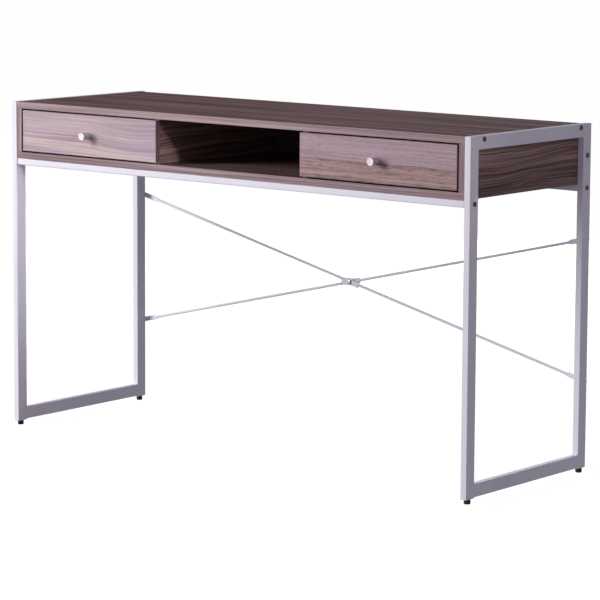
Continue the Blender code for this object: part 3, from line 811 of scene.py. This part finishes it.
bolt_low, bolt_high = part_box("brace_bolt_upper_right")
at_post = (bolt_low + bolt_high) / 2
plate_tilt = math.atan2(at_post.z - brace_middle.z, at_post.x)
brace_plate("stamped_plate_left", "brace_plate_left", LEFT_PLATE_HALF, 0.0)
brace_plate("stamped_plate_lower_right", "brace_plate_lower_right", RIGHT_PLATE_HALF, plate_tilt)
brace_plate("stamped_plate_upper_right", "brace_plate_upper_right", RIGHT_PLATE_HALF, -plate_tilt)
button_screw("button_centre_bolt", "brace_centre_bolt", (0, 1, 0), bright_plate, "desk", M5_SHANK)
nut_low, nut_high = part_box("brace_centre_nut")
nut_place = Matrix.Translation((nut_low + nut_high) / 2) @ Matrix.Rotation(math.pi / 2, 4, "X")
nut_thick = nut_high.y - nut_low.y
nut_corner = (nut_high.x - nut_low.x) / 2
nut = bmesh.new()
bmesh.ops.create_cone(nut, cap_ends=True, segments=6, radius1=nut_corner, radius2=nut_corner, depth=nut_thick)
nut_faces = [face for face in nut.faces if len(face.verts) == 6]
bmesh.ops.inset_region(nut, faces=nut_faces, thickness=NUT_FACE_RIM)
nut_edges = [edge for edge in nut.edges if edge.calc_face_angle(0) > math.radians(50)]
round_edges(nut, nut_edges, PLATE_EASE, 2)
bmesh.ops.transform(nut, matrix=nut_place, verts=nut.verts)
piece_from("hexagon_nut", nut, bright_plate, "desk", ["brace_centre_nut"], even=True)


# Runners
# Each drawer hangs on two pairs of rolled zinc-plated channels. In each pair the larger is screwed to the
# case, and the smaller is screwed to the drawer box and runs inside the larger.


def zinc():
    """Bright zinc on rolled strip, with faint drawing lines along the strip and cloudy spangle."""
    finish = Finish("zinc_plated_strip", (0.62, 0.63, 0.66), 0.32, metallic=1.0)
    place = finish.place()
    drawn = finish.mottle(place, (900.0, 9.0, 900.0), 3.0, 2.0)
    spangle = finish.mottle(place, 60.0, 5.0, 2.0)
    colour = finish.ramp(spangle * 0.6 + drawn * 0.4, [(0.3, (0.52, 0.53, 0.56)), (0.7, (0.72, 0.73, 0.75))])
    finish.feed("Base Color", colour)
    finish.feed("Roughness", 0.24 + drawn * 0.14 + spangle * 0.08)
    finish.rise(drawn, 0.00003, 0.3)
    return finish


STRIP = 0.0012
STRIP_BEND = 0.0022
strip_zinc = zinc()


def rolled_channel(low, high, web_side):
    """Strip rolled to a channel along Y, with its web on one side in X and its open side opposite."""
    channel = bmesh.new()
    bmesh.ops.create_cube(channel, size=1.0)
    bmesh.ops.scale(channel, vec=high - low, verts=channel.verts)
    bmesh.ops.translate(channel, vec=(low + high) / 2, verts=channel.verts)
    open_face = [face for face in channel.faces if face.normal.x * web_side < -0.5]
    ends = [face for face in channel.faces if abs(face.normal.y) > 0.5]
    gone = open_face + ends
    bends = [edge for edge in channel.edges if not any(face in gone for face in edge.link_faces)]
    bmesh.ops.delete(channel, geom=gone, context="FACES_ONLY")
    round_edges(channel, bends, STRIP_BEND, 4)
    bmesh.ops.recalc_face_normals(channel, faces=channel.faces)
    web = max(channel.faces, key=lambda face: face.calc_area())
    if web.normal.x * web_side < 0:
        bmesh.ops.reverse_faces(channel, faces=channel.faces)
    bmesh.ops.solidify(channel, geom=channel.faces[:], thickness=STRIP)
    bmesh.ops.recalc_face_normals(channel, faces=channel.faces)
    return channel


for side, sign in SIDES.items():
    for label in ("inner", "outer"):
        case_wall = sign if label == "outer" else -sign
        for part, body, web_side in (("case", "desk", case_wall), ("drawer", f"drawer_{side}", -case_wall)):
            node = f"runner_{part}_{label}_{side}"
            channel = rolled_channel(*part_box(node), web_side)
            piece_from(f"rolled_{node}", channel, strip_zinc, body, [node], sharp=40)


# Drawer fronts
# The fronts are 12 mm board in the same laminate, cut from two lighter sheets and edged all round, with a
# dark strip on their ends. The left front's tones are its lighter grain plus a painted sheen from the front
# left light, and its lavender haze is a painted sheen. They are screwed to their boxes from inside.

# The left front's tones are its lighter grain plus a painted sheen; its haze colour is a painted lavender
# sheen.
PALE_SHEET_AND_SHEEN = ((0.340, 0.244, 0.262), (0.462, 0.345, 0.362), (0.560, 0.432, 0.436), (0.660, 0.528, 0.512))
ROSE_SHEET = ((0.180, 0.104, 0.100), (0.322, 0.194, 0.188), (0.430, 0.276, 0.264), (0.515, 0.350, 0.336))
PAINTED_SHEEN_HAZE = (0.455, 0.360, 0.440)
ROSE_HAZE = (0.435, 0.310, 0.356)
SHEET_JOIN = 0.686
dark_upright = woodgrain("woodgrain_front_ends", TAUPE, "Z", 61.0, lines=0.3, sway=0.002)
pale_grain = woodgrain(
    "woodgrain_front_left",
    PALE_SHEET_AND_SHEEN,
    seed=43.0,
    lines=0.7,
    spacing=0.0036,
    haze=PAINTED_SHEEN_HAZE,
)
rose_grain = woodgrain(
    "woodgrain_front_right",
    ROSE_SHEET,
    seed=53.0,
    lines=0.6,
    spacing=0.0030,
    sway=0.006,
    banding=0.14,
    flecks=0.22,
    haze=ROSE_HAZE,
    haze_above=SHEET_JOIN,
)
for side, grain in (("left", pale_grain), ("right", rose_grain)):
    node = f"drawer_front_{side}"
    edged_board(f"drawer_face_{side}", node, grain, grain, f"drawer_{side}", ends=dark_upright, around=True)


# Drawer boxes
# Paper-faced board sides and back stand on a thin bottom panel that slides into grooves.


def paper_face():
    """Warm grey paper on board, matt, with a very fine linen print."""
    finish = Finish("paper_faced_board", (0.60, 0.56, 0.54), 0.6)
    place = finish.place()
    fleck = finish.mottle(place, (500.0, 90.0, 500.0), 3.0, 2.0)
    cloud = finish.mottle(place, 14.0, 9.0, 2.0)
    shade = fleck * 0.6 + cloud * 0.4
    finish.feed("Base Color", finish.ramp(shade, [(0.3, (0.51, 0.450, 0.425)), (0.7, (0.67, 0.605, 0.575))]))
    finish.feed("Roughness", 0.52 + fleck * 0.14)
    finish.rise(fleck, 0.00005, 0.3)
    return finish


PANEL_EASE = 0.0009
BOTTOM_EASE = 0.0004
box_board = paper_face()
for side in SIDES:
    body = f"drawer_{side}"
    for label in ("side_left", "side_right", "back", "bottom"):
        node = f"{body}_{label}"
        low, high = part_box(node)
        panel = block(low, high, BOTTOM_EASE if label == "bottom" else PANEL_EASE, 2)
        piece_from(f"box_{node}", panel, box_board, body, [node], even=True)


# Knobs
# Turned satin metal spools: a base flange, a hollow waist and a flat head, each held by a screw from inside.


def spun_metal():
    """Satin turned metal with faint rings left by the tool."""
    finish = Finish("satin_turned_metal", (0.60, 0.60, 0.63), 0.64, metallic=1.0)
    place = finish.place()
    rings = finish.mottle(place, (60.0, 1900.0, 60.0), 2.0, 2.0)
    cloud = finish.mottle(place, 160.0, 6.0, 2.0)
    shade = rings * 0.5 + cloud * 0.5
    finish.feed("Base Color", finish.ramp(shade, [(0.3, (0.54, 0.53, 0.56)), (0.7, (0.66, 0.65, 0.69))]))
    finish.feed("Roughness", 0.58 + rings * 0.12)
    finish.rise(rings, 0.00002, 0.4)
    return finish


WAIST_SHARE = 0.845
FLANGE_SHARE = 0.885
FLANGE_THICK = 0.0016
HEAD_THICK = 0.0042
WAIST_STEPS = 12
WAIST_FLARE = 2.4
M4_SHANK = 0.002
knob_metal = spun_metal()
for side in SIDES:
    node = f"knob_{side}"
    low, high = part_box(node)
    middle = (low + high) / 2
    radius = (high.x - low.x) / 2
    length = high.y - low.y
    waist = radius * WAIST_SHARE
    flange = radius * FLANGE_SHARE
    head_back = length - HEAD_THICK
    profile = [(0, 0), (flange * 0.97, 0), (flange, 0.0003), (flange, FLANGE_THICK)]
    for step in range(1, WAIST_STEPS):
        share = step / WAIST_STEPS
        flare = abs(2 * share - 1) ** WAIST_FLARE
        along = FLANGE_THICK + (head_back - FLANGE_THICK) * share
        profile.append((waist + (flange - waist) * flare, along))
    profile += [(radius * 0.93, head_back), (radius * 0.985, head_back + 0.0004)]
    profile += [(radius, head_back + 0.0010), (radius, length - 0.0008)]
    profile += [(radius * 0.985, length - 0.0003), (radius * 0.95, length)]
    profile += [(radius * 0.55, length - 0.0001), (0, length - 0.0002)]
    body = f"drawer_{side}"
    spool = turned(profile, (0, -1, 0), (middle.x, high.y, middle.z), 48)
    piece_from(f"spool_{node}", spool, knob_metal, body, [node], sharp=40)
    button_screw(f"button_knob_screw_{side}", f"knob_screw_{side}", (0, -1, 0), bright_plate, body, M4_SHANK)


low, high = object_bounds()
